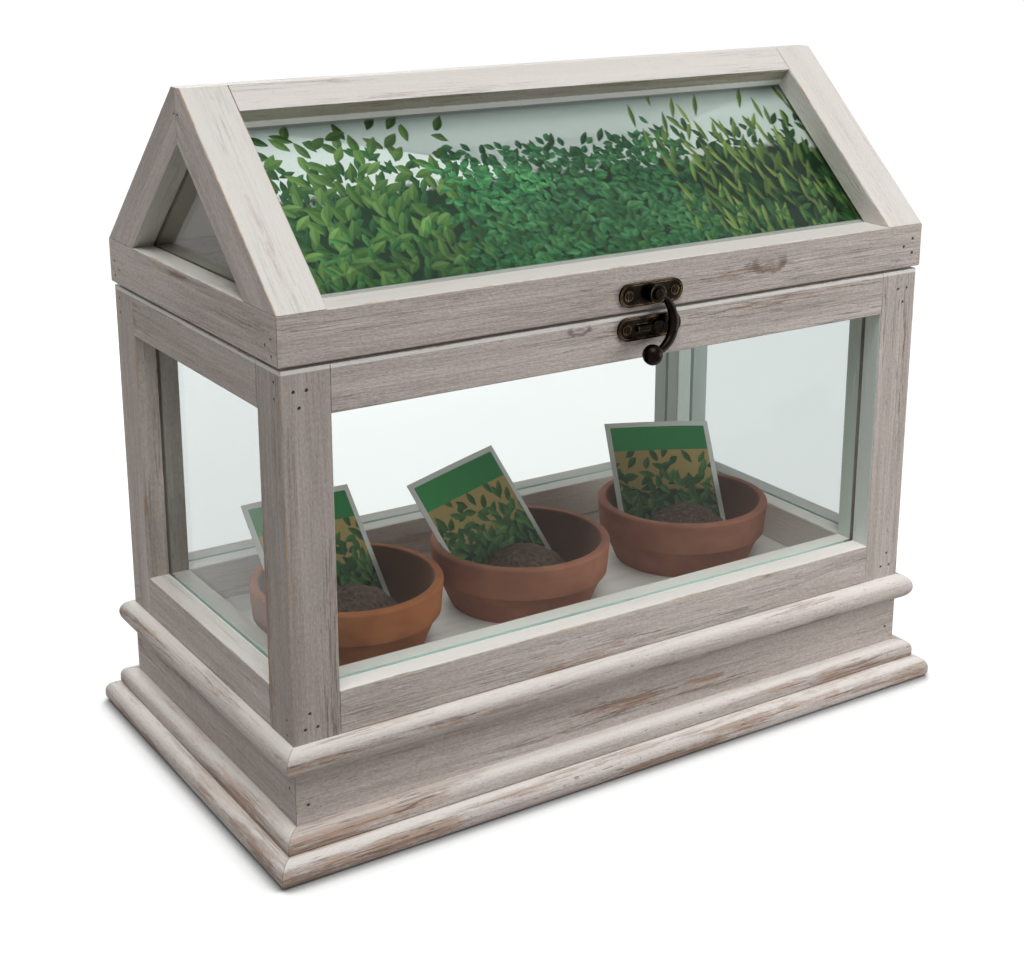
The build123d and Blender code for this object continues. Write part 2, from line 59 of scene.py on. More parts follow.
def put(tree, kind, feeds=(), **traits):
    node = tree.nodes.new("ShaderNode" + kind)
    for trait, value in traits.items():
        setattr(node, trait, value)
    feed(tree, node, feeds)
    return node


def maths(tree, operation, *values):
    return put(tree, "Math", dict(enumerate(values)), operation=operation).outputs[0]


def vectorMaths(tree, operation, *values):
    return put(tree, "VectorMath", dict(enumerate(values)), operation=operation).outputs[0]


def scaled(tree, vector, factor):
    return put(tree, "VectorMath", {0: vector, "Scale": factor}, operation="SCALE").outputs[0]


def facing(tree, first, second):
    return put(tree, "VectorMath", {0: first, 1: second}, operation="DOT_PRODUCT").outputs["Value"]


def split(tree, vector):
    return put(tree, "SeparateXYZ", {0: vector}).outputs


def blendColour(tree, factor, first, second, blend="MIX"):
    feeds = {0: factor, 6: first, 7: second}
    return put(tree, "Mix", feeds, data_type="RGBA", blend_type=blend).outputs[2]


# a soft step from low at the start to high at the end
def slide(tree, value, start, end, low=0.0, high=1.0):
    feeds = {0: value, 1: start, 2: end, 3: low, 4: high}
    return put(tree, "MapRange", feeds, interpolation_type="SMOOTHSTEP").outputs[0]


def noise(tree, vector, stretch, detail, rough):
    stretched = vectorMaths(tree, "MULTIPLY", vector, stretch)
    feeds = {"Vector": stretched, "Scale": 1.0, "Detail": detail, "Roughness": rough}
    return put(tree, "TexNoise", feeds).outputs[0]


# the layers added up, each by its share
def weighed(tree, layers, shares):
    total = 0.0
    for name, share in shares.items():
        total = maths(tree, "MULTIPLY_ADD", layers[name], share, total)
    return total


def newGroup(name, inputs, outputs):
    tree = bpy.data.node_groups.new(name, "ShaderNodeTree")
    kinds = {"value": "NodeSocketFloat", "vector": "NodeSocketVector", "colour": "NodeSocketColor"}
    for socket, kind in inputs.items():
        tree.interface.new_socket(socket, in_out="INPUT", socket_type=kinds[kind])
    for socket, kind in outputs.items():
        tree.interface.new_socket(socket, in_out="OUTPUT", socket_type=kinds[kind])
    given = tree.nodes.new("NodeGroupInput").outputs
    wanted = tree.nodes.new("NodeGroupOutput").inputs
    return tree, given, wanted


def placeGroup(tree, name, feeds):
    node = tree.nodes.new("ShaderNodeGroup")
    node.node_tree = bpy.data.node_groups[name]
    feed(tree, node, feeds)
    return node.outputs


def newMaterial(name):
    material = bpy.data.materials.new(name)
    material.use_nodes = True
    tree = material.node_tree
    tree.nodes.clear()
    shader = put(tree, "BsdfPrincipled")
    put(tree, "OutputMaterial", {"Surface": shader.outputs[0]})
    return material, tree, shader


def showShader(tree, socket):
    ending = next(node for node in tree.nodes if node.type == "OUTPUT_MATERIAL")
    tree.links.new(socket, ending.inputs["Surface"])


def coords(tree):
    return put(tree, "TexCoord").outputs


def ownPlace(tree, **settings):
    feeds = {"Vector": coords(tree)["Object"]}
    feeds.update(settings)
    return put(tree, "Mapping", feeds).outputs[0]


def heightUp(tree):
    return split(tree, coords(tree)["Object"])[2]


def upright(tree):
    return split(tree, coords(tree)["Normal"])[2]


def finishSurface(tree, shader, colour, roughness, height, depth, sheen=0.5):
    tree.links.new(colour, shader.inputs["Base Color"])
    tree.links.new(roughness, shader.inputs["Roughness"])
    bump = put(tree, "Bump", {"Height": height, "Distance": depth})
    tree.links.new(bump.outputs[0], shader.inputs["Normal"])
    shader.inputs["Specular IOR Level"].default_value = sheen


def dress(nodeName, material):
    for slot in nodes[nodeName].material_slots:
        slot.material = material


def applyAll(piece):
    bpy.ops.object.select_all(action="DESELECT")
    piece.select_set(True)
    bpy.context.view_layer.objects.active = piece
    for modifier in list(piece.modifiers):
        bpy.ops.object.modifier_apply(modifier=modifier.name)
    bpy.ops.object.transform_apply(location=True, rotation=True, scale=True)


edgeMasks = {"rubbedSpan": (0.98, 0.80), "rubbedSamples": 6, "roundedSpan": (0.05, 0.35)}


# rubbed edges: the angle between the softened and the sharp normal
def makeRubbedEdge():
    tree, given, wanted = newGroup("rubbedEdge", {"Radius": "value"}, {"Mask": "value"})
    soft = put(tree, "Bevel", {"Radius": given["Radius"]}, samples=edgeMasks["rubbedSamples"]).outputs[0]
    sharp = put(tree, "NewGeometry").outputs["Normal"]
    mask = slide(tree, facing(tree, soft, sharp), *edgeMasks["rubbedSpan"])
    tree.links.new(mask, wanted["Mask"])


# rounded edges: the normal lies between two faces of a square board
def makeRoundedEdge():
    tree, given, wanted = newGroup("roundedEdge", {"Normal": "vector"}, {"Mask": "value"})
    part = split(tree, given["Normal"])
    mask = 0.0
    for first, second in ((0, 1), (1, 2), (0, 2)):
        slant = maths(tree, "ABSOLUTE", maths(tree, "MULTIPLY", part[first], part[second]))
        mask = maths(tree, "MAXIMUM", mask, slant)
    tree.links.new(slide(tree, mask, *edgeMasks["roundedSpan"]), wanted["Mask"])


washedWood = {
    "paintPale": (0.636, 0.567, 0.528, 1.0),
    "paintGrey": (0.398, 0.341, 0.308, 1.0),
    "whiteAndLitPaint": (0.80, 0.768, 0.727, 1.0),
    "paintedShadeTint": (0.63, 0.622, 0.605, 1.0),
    "bareTan": (0.47, 0.315, 0.235, 1.0),
    "bareBrown": (0.29, 0.18, 0.125, 1.0),
    "edgeTan": (0.50, 0.325, 0.19, 1.0),
    "crackBrown": (0.15, 0.105, 0.08, 1.0),
    "layers": {  # stretch along and across the grain, detail, roughness
        "broad": ((5.0, 60.0, 60.0), 2.0, 0.5),
        "brush": ((38.0, 1150.0, 1150.0), 3.0, 0.6),
        "grain": ((9.0, 270.0, 270.0), 5.0, 0.62),
        "patch": ((7.0, 105.0, 105.0), 6.0, 0.58),
        "speck": ((620.0, 1300.0, 1300.0), 3.0, 0.7),
        "chip": ((60.0, 170.0, 170.0), 5.0, 0.6),
        "flake": ((260.0, 800.0, 800.0), 4.0, 0.65),
        "crack": ((16.0, 620.0, 620.0), 3.0, 0.55),
    },
    "streaks": {  # how far each layer turns the paint from pale to grey
        "brush": (0.32, 0.68, 0.0, 0.32),
        "grain": (0.34, 0.66, 0.0, 0.34),
        "speck": (0.34, 0.66, 0.0, 0.42),
        "broad": (0.35, 0.68, -0.18, 0.24),
    },
    "bareSpan": (0.35, 0.65),
    "rubShares": {"patch": 1.0, "rub": 0.25, "chip": 0.26, "flake": 0.14},
    "rubSpan": (0.91, 1.0),
    "rubStrength": 0.82,
    "whiteAndLitCover": 0.8,  # how far white paint and painted light hide rubbing and cracks
    "wornShares": {"edge": 1.0, "chip": 1.4, "flake": 0.6},
    "wornSpan": (1.62, 1.95, 0.0, 0.75),
    "lineSpan": (0.020, 0.004),
    "lineWhere": (0.44, 0.62, 0.0, 0.6),
    "pitShares": {"flake": 0.65, "brush": 0.35},
    "pitSpan": (0.41, 0.30, 0.0, 0.5),
    "leastDark": 0.35,
    "heightShares": {
        "grain": 0.35, "brush": 0.25, "flake": 0.3, "speck": 0.25, "rubbed": -0.3, "dark": -0.5,
    },
    "roughSpan": (0.0, 1.0, 0.6, 0.78),
    "grainDepth": 0.0010,
    "sheen": 0.25,
}


# washed paint over wood, the grain along X of the vector given
def makeWashGrain():
    look = washedWood
    inputs = {"Vector": "vector"}
    inputs.update({socket: "value" for socket in ("Edge", "Rub", "PaintedShade", "WhiteAndLit", "Knot")})
    outputs = {"Colour": "colour", "Roughness": "value", "Height": "value"}
    tree, given, wanted = newGroup("washGrain", inputs, outputs)
    layers = {name: noise(tree, given["Vector"], *setting) for name, setting in look["layers"].items()}
    layers["edge"] = given["Edge"]
    layers["rub"] = given["Rub"]

    streak = 0.0
    for name, span in look["streaks"].items():
        streak = maths(tree, "ADD", streak, slide(tree, layers[name], *span))
    paint = blendColour(tree, streak, look["paintPale"], look["paintGrey"])
    # painted shade: the paint darkened on a board by the given share
    paint = blendColour(tree, given["PaintedShade"], paint, look["paintedShadeTint"], "MULTIPLY")
    # white paint and painted light: the paint whitened by the given share
    paint = blendColour(tree, given["WhiteAndLit"], paint, look["whiteAndLitPaint"])

    brown = slide(tree, layers["grain"], *look["bareSpan"])
    bare = blendColour(tree, brown, look["bareTan"], look["bareBrown"])
    clean = maths(tree, "MULTIPLY_ADD", given["WhiteAndLit"], -look["whiteAndLitCover"], 1.0)
    rubbed = slide(tree, weighed(tree, layers, look["rubShares"]), *look["rubSpan"])
    rubbed = maths(tree, "MULTIPLY", rubbed, clean)
    colour = blendColour(tree, maths(tree, "MULTIPLY", rubbed, look["rubStrength"]), paint, bare)
    worn = slide(tree, weighed(tree, layers, look["wornShares"]), *look["wornSpan"])
    colour = blendColour(tree, worn, colour, look["edgeTan"])

    off = maths(tree, "ABSOLUTE", maths(tree, "SUBTRACT", layers["crack"], 0.5))
    line = slide(tree, off, *look["lineSpan"])
    line = maths(tree, "MULTIPLY", line, slide(tree, layers["patch"], *look["lineWhere"]))
    pit = slide(tree, weighed(tree, layers, look["pitShares"]), *look["pitSpan"])
    dark = maths(tree, "MULTIPLY", maths(tree, "MAXIMUM", line, pit), clean)
    dark = maths(tree, "MULTIPLY", dark, maths(tree, "ADD", given["Rub"], look["leastDark"]))
    for mask in (dark, given["Knot"]):
        colour = blendColour(tree, mask, colour, look["crackBrown"])

    layers["rubbed"] = rubbed
    layers["dark"] = dark
    tree.links.new(colour, wanted["Colour"])
    tree.links.new(slide(tree, rubbed, *look["roughSpan"]), wanted["Roughness"])
    tree.links.new(weighed(tree, layers, look["heightShares"]), wanted["Height"])


leafShape = {
    "seedSlant": 1.7,
    "reach": 0.54,  # half a leaf's length in cells
    "taper": 1.7,
    "rim": (0.0, 0.12),
    "halves": (-0.06, 0.06, 0.12, 0.5),
    "tipLight": 0.22,
    "chanceLight": 0.4,
}


# leaves scattered one to a cell, each with its own turn, lighter on one half and at the tip
def makeLeafScatter():
    shape = leafShape
    inputs = {"Vector": "vector"}
    inputs.update({socket: "value" for socket in ("Seed", "Size", "Slim", "Turn", "Spread")})
    outputs = {"Mask": "value", "Tone": "value", "Chance": "value", "Centre": "vector"}
    tree, given, wanted = newGroup("leafScatter", inputs, outputs)
    slanted = maths(tree, "MULTIPLY", given["Seed"], shape["seedSlant"])
    shift = put(tree, "CombineXYZ", {0: given["Seed"], 1: slanted}).outputs[0]
    spot = scaled(tree, given["Vector"], maths(tree, "DIVIDE", 1.0, given["Size"]))
    spot = vectorMaths(tree, "ADD", spot, shift)
    cell = put(tree, "TexVoronoi", {"Vector": spot, "Scale": 1.0}, voronoi_dimensions="2D").outputs
    chance = put(tree, "SeparateColor", {0: cell["Color"]}).outputs

    swing = maths(tree, "MULTIPLY", maths(tree, "SUBTRACT", chance[0], 0.5), given["Spread"])
    angle = maths(tree, "MULTIPLY", maths(tree, "ADD", given["Turn"], swing), -1.0)
    away = vectorMaths(tree, "SUBTRACT", spot, cell["Position"])
    run = put(tree, "VectorRotate", {"Vector": away, "Angle": angle}, rotation_type="Z_AXIS").outputs[0]
    run = split(tree, run)
    along = maths(tree, "DIVIDE", run[0], shape["reach"])
    across = maths(tree, "DIVIDE", run[1], maths(tree, "MULTIPLY", given["Slim"], shape["reach"]))
    pointed = maths(tree, "POWER", maths(tree, "ABSOLUTE", along), shape["taper"])
    outline = maths(tree, "SUBTRACT", 1.0, pointed)
    outline = maths(tree, "SUBTRACT", outline, maths(tree, "ABSOLUTE", across))

    tone = maths(tree, "MULTIPLY_ADD", along, shape["tipLight"], slide(tree, across, *shape["halves"]))
    tone = maths(tree, "MULTIPLY_ADD", chance[1], shape["chanceLight"], tone)
    centre = scaled(tree, vectorMaths(tree, "SUBTRACT", cell["Position"], shift), given["Size"])
    tree.links.new(slide(tree, outline, *shape["rim"]), wanted["Mask"])
    tree.links.new(tone, wanted["Tone"])
    tree.links.new(chance[2], wanted["Chance"])
    tree.links.new(centre, wanted["Centre"])


makeRubbedEdge()
makeRoundedEdge()
makeWashGrain()
makeLeafScatter()
print("shared effects made")

# washed wood boards: the run of the grain, rubbing, painted shade, paint on inner faces, painted light on
# ledges and roof, knots
grainTurn = {
    "x": (0.0, 0.0, 0.0),
    "y": (0.0, 0.0, -quarter),
    "z": (0.0, quarter, 0.0),
    "frontSlope": (-roofPitch, 0.0, -quarter),
    "backSlope": (roofPitch, 0.0, -quarter),
}
boards = {
    "base_moulding_front": {"run": "x", "rub": 0.95},
    "base_moulding_back": {"run": "x", "rub": 0.9},
    "base_moulding_ends": {"run": "y", "rub": 0.95},
    "skirt_front": {"run": "x", "rub": 0.45},
    "skirt_back": {"run": "x", "rub": 0.5, "knot": ((0.071, 0.0, 0.031), 0.006)},
    "skirt_ends": {"run": "y", "rub": 0.5},
    "waist_moulding_front": {"run": "x", "rub": 0.7},
    "waist_moulding_back": {"run": "x", "rub": 0.7},
    "waist_moulding_ends": {"run": "y", "rub": 0.7},
    "post_front_left": {"run": "z", "rub": 0.45, "paintedShade": 0.62, "inner": 1.0},
    "post_front_right": {"run": "z", "rub": 0.5, "paintedShade": 0.25, "inner": 1.0},
    "post_back_left": {"run": "z", "rub": 0.45, "paintedShade": 0.15, "inner": 0.0},
    "post_back_right": {"run": "z", "rub": 0.4, "inner": 1.2},
    "bottom_rail_front": {"run": "x", "rub": 0.45, "inner": 0.4, "litLedge": 1.0},
    "bottom_rail_back": {"run": "x", "rub": 0.4, "inner": 0.6, "litLedge": 1.0, "innerRub": 0.4},
    "bottom_rail_left": {"run": "y", "rub": 0.4, "inner": 0.4, "litLedge": 0.7},
    "bottom_rail_right": {"run": "y", "rub": 0.4, "inner": 0.85, "litLedge": 1.0},
    "top_rail_front": {"run": "x", "rub": 0.45, "paintedShade": 0.15, "knot": ((-0.026, 0.0, 0.1875), 0.0045)},
    "top_rail_back": {"run": "x", "rub": 0.5},
    "top_rail_left": {"run": "y", "rub": 0.5, "paintedShade": 0.3},
    "top_rail_right": {"run": "y", "rub": 0.5},
    "lid_rail_front": {"run": "x", "rub": 0.26, "paintedShade": 0.08, "knot": ((0.066, 0.0, 0.203), 0.0085)},
    "lid_rail_back": {"run": "x", "rub": 0.5, "knot": ((-0.048, 0.0, 0.199), 0.007)},
    "lid_rail_left": {"run": "y", "rub": 0.55},
    "lid_rail_right": {"run": "y", "rub": 0.5},
    "rafter_front_left": {"run": "frontSlope", "rub": 0.35},
    "rafter_front_right": {"run": "frontSlope", "rub": 0.3, "roof": 0.72},
    "rafter_back_left": {"run": "backSlope", "rub": 0.35},
    "rafter_back_right": {"run": "backSlope", "rub": 0.3},
    "ridge_beam": {"run": "x", "rub": 0.5, "roof": 0.78},
}
boardTrim = {
    "edgeWear": {
        "rafter": 0.85, "moulding": 0.0, "skirt": 0.0, "ridge": 0.0, "lid": 0.7, "post": 0.7, "rail": 0.65,
    },
    "grainShift": (0.37, 0.113, 0.071),  # from each board to the next
    "innerSpan": (-0.02, -0.04),  # how far a face is turned in
    "underSpan": (-0.3, -0.6, 0.0, 0.7),  # how far a face is turned down, for painted shade under the rafters and the ridge beam
    "footSpan": (0.006, 0.001, 0.0, 0.12),
    "litRimSpan": (0.1882, 0.1887),  # heights of a painted highlight line under the lid
    # painted light on the up-facing window ledges and the tops of the moulding noses
    "litLedgeSpan": (0.6, 0.9),
    "litNoseSpan": (0.25, 0.95, 0.08, 0.72),
    "slopedSpan": (0.97, 0.90),
    # painted light on the up-facing faces of the roof
    "roofHeight": (0.195, 0.205),
    "roofSpan": (0.4, 0.7),
    "roofWhite": 0.85,
    "rafterInner": 0.7,
    "lipSpan": (0.2032, 0.2024),  # levels across the slope of the roof
    "lipNoise": ((260.0, 0.0, 0.0), 4.0, 0.6),
    "lipRagged": 0.0012,
    "grooveSlack": 0.0006,
    "grooveSkin": 0.003,
    "grooveTop": 0.185,
    "glassLightShare": 0.65,
    "innerGlassLight": (0.70, 0.83, 0.76, 1.0),
    "grooveGlassLight": (0.86, 0.92, 0.88, 1.0),
    "rafterShade": (0.62, 0.61, 0.53, 1.0),
    "ridgeShade": (0.30, 0.29, 0.22, 1.0),
    "lipHighlight": (0.95, 0.96, 0.93, 1.0),
}
knotShape = {
    "wobble": ((260.0, 260.0, 260.0), 4.0, 0.65),
    "wobbleReach": 0.9,
    "squeeze": (0.75, 0.0, 1.5),
    "ringAt": 0.7,
    "ringSpan": (0.34, 0.06),
    "underSpan": (0.5, -0.2, 0.12, 0.72),
    "coreSpan": (0.35, 0.0, 0.0, 0.35),
}


# a knot: a dark ring, fainter above, about a small core, flattened along the board
def woodKnot(tree, centre, size):
    place = coords(tree)["Object"]
    wobble = maths(tree, "SUBTRACT", noise(tree, place, *knotShape["wobble"]), 0.5)
    squeeze = tuple(amount / size for amount in knotShape["squeeze"])
    away = vectorMaths(tree, "MULTIPLY", vectorMaths(tree, "SUBTRACT", place, centre), squeeze)
    reach = put(tree, "VectorMath", {0: away}, operation="LENGTH").outputs["Value"]
    reach = maths(tree, "MULTIPLY_ADD", wobble, knotShape["wobbleReach"], reach)
    off = maths(tree, "ABSOLUTE", maths(tree, "SUBTRACT", reach, knotShape["ringAt"]))
    ring = slide(tree, off, *knotShape["ringSpan"])
    ring = maths(tree, "MULTIPLY", ring, slide(tree, split(tree, away)[2], *knotShape["underSpan"]))
    return maths(tree, "MAXIMUM", ring, slide(tree, reach, *knotShape["coreSpan"]))


# faces turned in to the middle of the case, by a share
def turnedIn(tree, share):
    where = coords(tree)
    level = vectorMaths(tree, "MULTIPLY", where["Object"], (1.0, 1.0, 0.0))
    inward = slide(tree, facing(tree, where["Normal"], level), *boardTrim["innerSpan"])
    return maths(tree, "MULTIPLY", inward, share)


# painted light: the up-facing faces on the slopes of the roof painted whiter, as if lit from above
def roofWhite(tree, strength):
    above = slide(tree, heightUp(tree), *boardTrim["roofHeight"])
    upward = slide(tree, upright(tree), *boardTrim["roofSpan"], 0.0, strength)
    return maths(tree, "MULTIPLY", above, upward)


# a painted highlight: an uneven white line along the ridge beam, next to the roof glass, on its shaded
# underside
def litGlassLip(tree):
    where = coords(tree)["Object"]
    part = split(tree, where)
    level = maths(tree, "MULTIPLY", maths(tree, "ABSOLUTE", part[1]), math.sin(roofPitch))
    level = maths(tree, "MULTIPLY_ADD", part[2], math.cos(roofPitch), level)
    ragged = noise(tree, where, *boardTrim["lipNoise"])
    level = maths(tree, "MULTIPLY_ADD", ragged, boardTrim["lipRagged"], level)
    return slide(tree, level, *boardTrim["lipSpan"])


# the grooves that hold the panes, painted pale green: painted light from the glass that lifts the shade in
# the grooves
def paneGroove(tree, board):
    where = split(tree, coords(tree)["Object"])
    low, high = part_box(board)
    found = 0.0
    for side, axis in (("front", 1), ("back", 1), ("left", 0), ("right", 0)):
        if side in board:
            paneLow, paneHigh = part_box("case_pane_" + side)
            off = maths(tree, "SUBTRACT", where[axis], (paneLow[axis] + paneHigh[axis]) / 2)
            near = (paneHigh[axis] - paneLow[axis]) / 2 + boardTrim["grooveSlack"]
            outer = max(abs(low[1 - axis]), abs(high[1 - axis])) - boardTrim["grooveSkin"]
            within = maths(tree, "LESS_THAN", maths(tree, "ABSOLUTE", off), near)
            inside = maths(tree, "LESS_THAN", maths(tree, "ABSOLUTE", where[1 - axis]), outer)
            found = maths(tree, "MAXIMUM", found, maths(tree, "MULTIPLY", within, inside))
    return maths(tree, "MULTIPLY", found, maths(tree, "LESS_THAN", where[2], boardTrim["grooveTop"]))


# where a board is whiter: white paint on inner faces, and painted light on the tops of the noses, the
# window ledges, the roof and a line under the lid
def boardWhiteAndLit(tree, board, look):
    if "moulding" in board:  # painted highlight on the tops of the rounded noses
        return slide(tree, upright(tree), *boardTrim["litNoseSpan"])
    if board.startswith("top_rail"):  # a painted highlight line along the top of the case
        return slide(tree, heightUp(tree), *boardTrim["litRimSpan"])
    if board.startswith("post"):  # the same painted highlight line, and white paint on the inner faces
        rim = slide(tree, heightUp(tree), *boardTrim["litRimSpan"])
        return maths(tree, "MAXIMUM", turnedIn(tree, look["inner"]), rim)
    if board.startswith("bottom_rail"):  # painted light on the window ledge, and white paint on the inner face
        litLedge = slide(tree, upright(tree), *boardTrim["litLedgeSpan"])
        litLedge = maths(tree, "MULTIPLY", litLedge, look["litLedge"])
        return maths(tree, "MAXIMUM", litLedge, turnedIn(tree, look["inner"]))
    # painted light on the roof, and white paint on the inner faces of the rafters
    whiteAndLit = roofWhite(tree, look.get("roof", boardTrim["roofWhite"]))
    if board.startswith("rafter"):
        whiteAndLit = maths(tree, "MAXIMUM", whiteAndLit, turnedIn(tree, boardTrim["rafterInner"]))
    return whiteAndLit


# painted shade and painted light over the wash of a board: shade under the rafters and the ridge beam, a
# highlight line by the roof glass, green glass light on inner faces and in the grooves
def boardTint(tree, board, look, colour):
    if board.startswith("post"):
        # painted light: pale green from the glass, lifting the shade on the inner faces of the posts
        glassLit = turnedIn(tree, boardTrim["glassLightShare"] * look["inner"])
        colour = blendColour(tree, glassLit, colour, boardTrim["innerGlassLight"])
    if board.startswith("rafter"):
        # painted shade on the faces of the rafters turned down
        shadedUnder = slide(tree, upright(tree), *boardTrim["underSpan"])
        colour = blendColour(tree, shadedUnder, colour, boardTrim["rafterShade"])
    if board == "ridge_beam":
        # painted shade on the faces of the ridge beam turned down
        shadedUnder = slide(tree, upright(tree), *boardTrim["underSpan"])
        colour = blendColour(tree, shadedUnder, colour, boardTrim["ridgeShade"])
        # painted highlight: the white line over the painted shade of the underside
        lip = maths(tree, "MULTIPLY", shadedUnder, litGlassLip(tree))
        colour = blendColour(tree, lip, colour, boardTrim["lipHighlight"])
    # painted light in the grooves that hold the panes
    if board.startswith(("bottom_rail", "post_back_right")):
        colour = blendColour(tree, paneGroove(tree, board), colour, boardTrim["grooveGlassLight"])
    return colour


for count, (board, look) in enumerate(boards.items()):
    wood, tree, shader = newMaterial("washed_" + board)
    turn = grainTurn[look["run"]]
    shift = tuple(step * count for step in boardTrim["grainShift"])
    normal = {"Vector": coords(tree)["Normal"], "Rotation": turn}
    normal = put(tree, "Mapping", normal, vector_type="VECTOR").outputs[0]
    wear = next(amount for kind, amount in boardTrim["edgeWear"].items() if kind in board)
    edge = maths(tree, "MULTIPLY", placeGroup(tree, "roundedEdge", {"Normal": normal})["Mask"], wear)
    rub = look["rub"]
    if board.startswith("rafter"):  # the level cut at the ridge is no edge
        edge = maths(tree, "MULTIPLY", edge, slide(tree, upright(tree), *boardTrim["slopedSpan"]))
    if board.startswith("base_moulding"):  # more rubbing at the foot
        rub = maths(tree, "ADD", slide(tree, heightUp(tree), *boardTrim["footSpan"]), rub)
    if "innerRub" in look:
        rub = maths(tree, "ADD", turnedIn(tree, look["innerRub"]), rub)
    wash = placeGroup(tree, "washGrain", {
        "Vector": ownPlace(tree, Rotation=turn, Location=shift),
        "Edge": edge,
        "Rub": rub,
        "PaintedShade": look.get("paintedShade", 0.0),
        "WhiteAndLit": boardWhiteAndLit(tree, board, look),
        "Knot": woodKnot(tree, *look["knot"]) if "knot" in look else 0.0,
    })
    colour = boardTint(tree, board, look, wash["Colour"])
    depth = washedWood["grainDepth"]
    finishSurface(tree, shader, colour, wash["Roughness"], wash["Height"], depth, washedWood["sheen"])
    dress(board, wood)
print("wood dressed:", len(boards), "boards")

# white floor inside the case
whiteBoard = {
    "pale": (0.74, 0.73, 0.70, 1.0),
    "shade": (0.66, 0.645, 0.61, 1.0),
    "brush": ((12.0, 420.0, 420.0), 4.0, 0.6),
    "shadeSpan": (0.35, 0.7),
    "roughSpan": (0.3, 0.7, 0.5, 0.6),
    "depth": 0.0002,
}
floorPaint, tree, shader = newMaterial("white_floor_paint")
brushed = noise(tree, ownPlace(tree), *whiteBoard["brush"])
shade = slide(tree, brushed, *whiteBoard["shadeSpan"])
colour = blendColour(tree, shade, whiteBoard["pale"], whiteBoard["shade"])
roughness = slide(tree, brushed, *whiteBoard["roughSpan"])
finishSurface(tree, shader, colour, roughness, brushed, whiteBoard["depth"])
dress("floor_board", floorPaint)

# glass panes, greener at their edges and along the foot; the end and gable panes greyer, as painted shade
# over the inside seen through them
glassPane = {
    "clear": (0.87, 0.895, 0.885, 1.0),
    "clearEndShaded": (0.66, 0.695, 0.69, 1.0),
    "clearGableShaded": (0.58, 0.58, 0.545, 1.0),
    "edge": (0.48, 0.76, 0.66, 1.0),
    "shadow": (0.97, 0.99, 0.98, 1.0),
    "bend": 1.2,
    "edgeSpan": (0.9, 0.3),
    "footFrom": 0.0062,
    "footTo": 0.0034,
    "footTint": 0.3,
    "smear": ((18.0, 18.0, 18.0), 5.0, 0.6),
    "roughSpan": (0.5, 0.8, 0.0, 0.04),
    "windows": {
        "case_pane_front": (0, 1, 0), "case_pane_back": (0, 1, 0),
        "case_pane_left": (1, 0, 0), "case_pane_right": (1, 0, 0),
        "gable_pane_left": (1, 0, 0), "gable_pane_right": (1, 0, 0),
        "roof_pane_front": (0, -math.sin(roofPitch), math.cos(roofPitch)),
        "roof_pane_back": (0, math.sin(roofPitch), math.cos(roofPitch)),
    },
}
for pane, across in glassPane["windows"].items():
    glass, tree, shader = newMaterial("glass_" + pane)
    flat = maths(tree, "ABSOLUTE", facing(tree, coords(tree)["Normal"], across))
    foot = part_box(pane)[0][2]
    footSpan = (foot + glassPane["footFrom"], foot + glassPane["footTo"], 0.0, glassPane["footTint"])
    side = slide(tree, flat, *glassPane["edgeSpan"])
    side = maths(tree, "MAXIMUM", side, slide(tree, heightUp(tree), *footSpan))
    # painted shade: the end panes, and the gable panes more, are greyer than the front and back
    clear = glassPane["clear" if pane.endswith(("front", "back")) else "clearEndShaded"]
    if pane.startswith("gable"):
        clear = glassPane["clearGableShaded"]
    smear = noise(tree, ownPlace(tree), *glassPane["smear"])
    tree.links.new(blendColour(tree, side, clear, glassPane["edge"]), shader.inputs["Base Color"])
    tree.links.new(slide(tree, smear, *glassPane["roughSpan"]), shader.inputs["Roughness"])
    shader.inputs["Transmission Weight"].default_value = 1.0
    shader.inputs["IOR"].default_value = glassPane["bend"]
    path = put(tree, "LightPath").outputs
    passing = maths(tree, "MAXIMUM", path["Is Shadow Ray"], path["Is Diffuse Ray"])
    through = put(tree, "BsdfTransparent", {"Color": glassPane["shadow"]})
    mixed = put(tree, "MixShader", {0: passing, 1: shader.outputs[0], 2: through.outputs[0]})
    showShader(tree, mixed.outputs[0])
    dress(pane, glass)
print("glass dressed")

# metal fittings
bronze = {
    "dark": (0.005, 0.004, 0.0035, 1.0),
    "brown": (0.013, 0.009, 0.006, 1.0),
    "bright": (0.40, 0.28, 0.15, 1.0),
    "cloud": ((190.0, 190.0, 190.0), 3.0, 0.5),
    "brownSpan": (0.35, 0.7),
    "edgeRadius": 0.0007,
    "wornSpan": (0.3, 0.65, 0.08, 0.45),
    "roughSpan": (0.3, 0.7, 0.16, 0.3),
    "depth": 0.00008,
    "fittings": (
        "latch_plate", "latch_pivot", "latch_hook", "keeper_plate",
        "case_hinge_leaves", "lid_hinge_leaves", "hinge_pins", "case_screws", "lid_screws",
    ),
}
agedBronze, tree, shader = newMaterial("aged_bronze")
cloudy = noise(tree, ownPlace(tree), *bronze["cloud"])
edge = placeGroup(tree, "rubbedEdge", {"Radius": bronze["edgeRadius"]})["Mask"]
colour = blendColour(tree, slide(tree, cloudy, *bronze["brownSpan"]), bronze["dark"], bronze["brown"])
worn = maths(tree, "MULTIPLY", edge, slide(tree, cloudy, *bronze["wornSpan"]))
colour = blendColour(tree, worn, colour, bronze["bright"])
finishSurface(tree, shader, colour, slide(tree, cloudy, *bronze["roughSpan"]), cloudy, bronze["depth"])
shader.inputs["Metallic"].default_value = 1.0
for fitting in bronze["fittings"]:
    dress(fitting, agedBronze)

